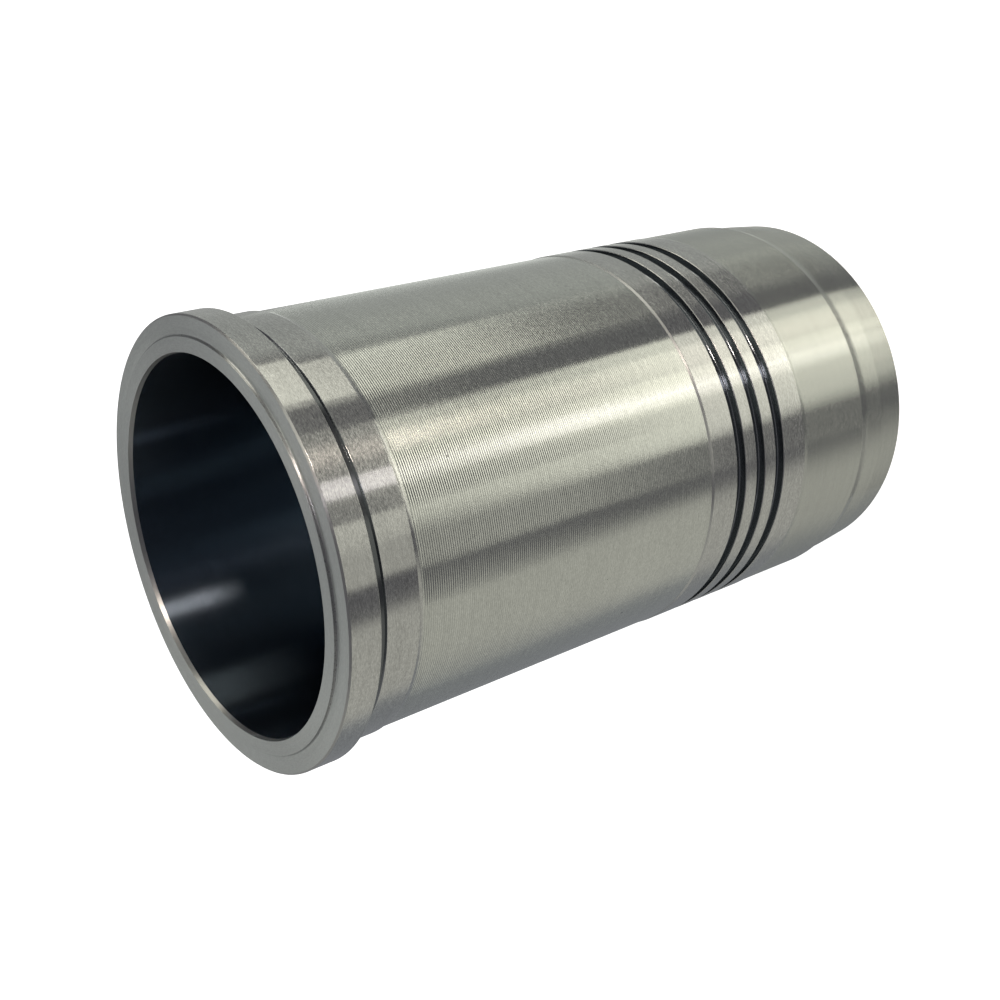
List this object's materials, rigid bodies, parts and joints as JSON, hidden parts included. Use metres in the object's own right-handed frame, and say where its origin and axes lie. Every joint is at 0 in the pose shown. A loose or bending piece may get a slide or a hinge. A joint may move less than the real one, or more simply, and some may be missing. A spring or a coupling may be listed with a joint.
{
  "type": "cylinder liner",
  "caption": "Flanged wet cylinder liner: a turned iron sleeve with a honed bore, a raised fire ring, a pilot collar, seal grooves round its lower half and a tapered lower end.",
  "frame": {"origin": "on the axis of the bore, in the plane of the lower end face", "axes": "+Z along the bore's axis, from the lower end towards the flange and its fire ring, as the liner stands on its lower end; X and Y are any two radii, because the part is turned"},
  "size_m": [0.1666, 0.1666, 0.287],
  "materials": {
    "turned_iron": "bare grey iron, turned and ground bright, with a honed bore"
  },
  "bodies": {
    "root": {"cylinder_liner": "turned_iron"}
  },
  "joints": []
}
